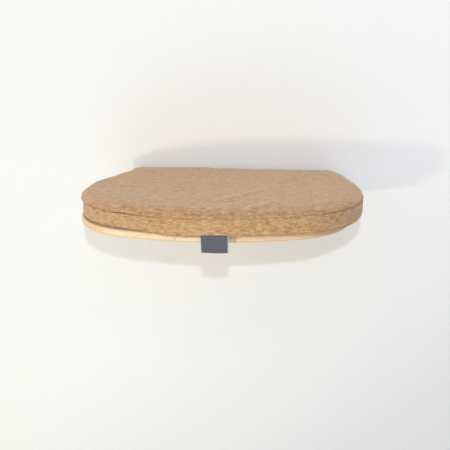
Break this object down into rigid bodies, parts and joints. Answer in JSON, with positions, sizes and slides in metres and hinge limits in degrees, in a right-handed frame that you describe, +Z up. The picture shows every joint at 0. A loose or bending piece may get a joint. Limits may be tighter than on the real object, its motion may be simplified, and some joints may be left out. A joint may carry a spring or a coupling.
{
  "type": "wall-mounted cat bed",
  "caption": "Wall-mounted cat bed: a wooden shelf with a rounded front on steel angle brackets, with a zipped box cushion on it and a bare label in its front seam.",
  "frame": {"origin": "middle of the shelf's lower back edge, on the wall", "axes": "+X along the wall to the right as seen from the room, +Y into the wall, +Z up"},
  "size_m": [0.5759, 0.398, 0.155],
  "materials": {
    "wood": "satin",
    "bracket_paint": "satin",
    "screw_steel": "satin",
    "touch_tape": "matte",
    "cover_cloth": "matte",
    "foam": "matte",
    "zip_tape": "matte",
    "zip_coil": "satin",
    "zip_metal": "satin",
    "label": "matte"
  },
  "bodies": {
    "shelf": {"shelf_board": "wood", "bracket_left": "bracket_paint", "bracket_right": "bracket_paint", "board_screws_left": "screw_steel", "board_screws_right": "screw_steel", "hook_strip_rear": "touch_tape", "hook_strip_front": "touch_tape"},
    "cushion": {"loop_strip_rear": "touch_tape", "loop_strip_front": "touch_tape", "cover_base": "cover_cloth", "side_band": "cover_cloth", "zip_strip_upper": "cover_cloth", "zip_strip_lower": "cover_cloth", "cover_top": "cover_cloth", "foam_core": "foam", "zip_tape_upper": "zip_tape", "zip_tape_lower": "zip_tape", "zip_coil_upper": "zip_coil", "zip_coil_lower": "zip_coil", "zip_stops": "zip_metal", "label": "label"},
    "zip_slider": {"zip_slider": "zip_metal"},
    "zip_pull": {"zip_pull": "zip_metal"}
  },
  "joints": [
    {"name": "cushion_lift", "type": "slide", "parent": "shelf", "child": "cushion", "axis": [0, 0, 1], "range_m": [0, 0.15]},
    {"name": "zip_slide", "type": "slide", "parent": "cushion", "child": "zip_slider", "axis": [-0.9995, 0.0304, 0], "range_m": [0, 0.334]},
    {"name": "zip_pull_swing", "type": "hinge", "parent": "zip_slider", "child": "zip_pull", "pos_m": [0.18591, -0.01123, 0.03875], "axis": [0, 0, -1], "range_deg": [0, 175]}
  ]
}
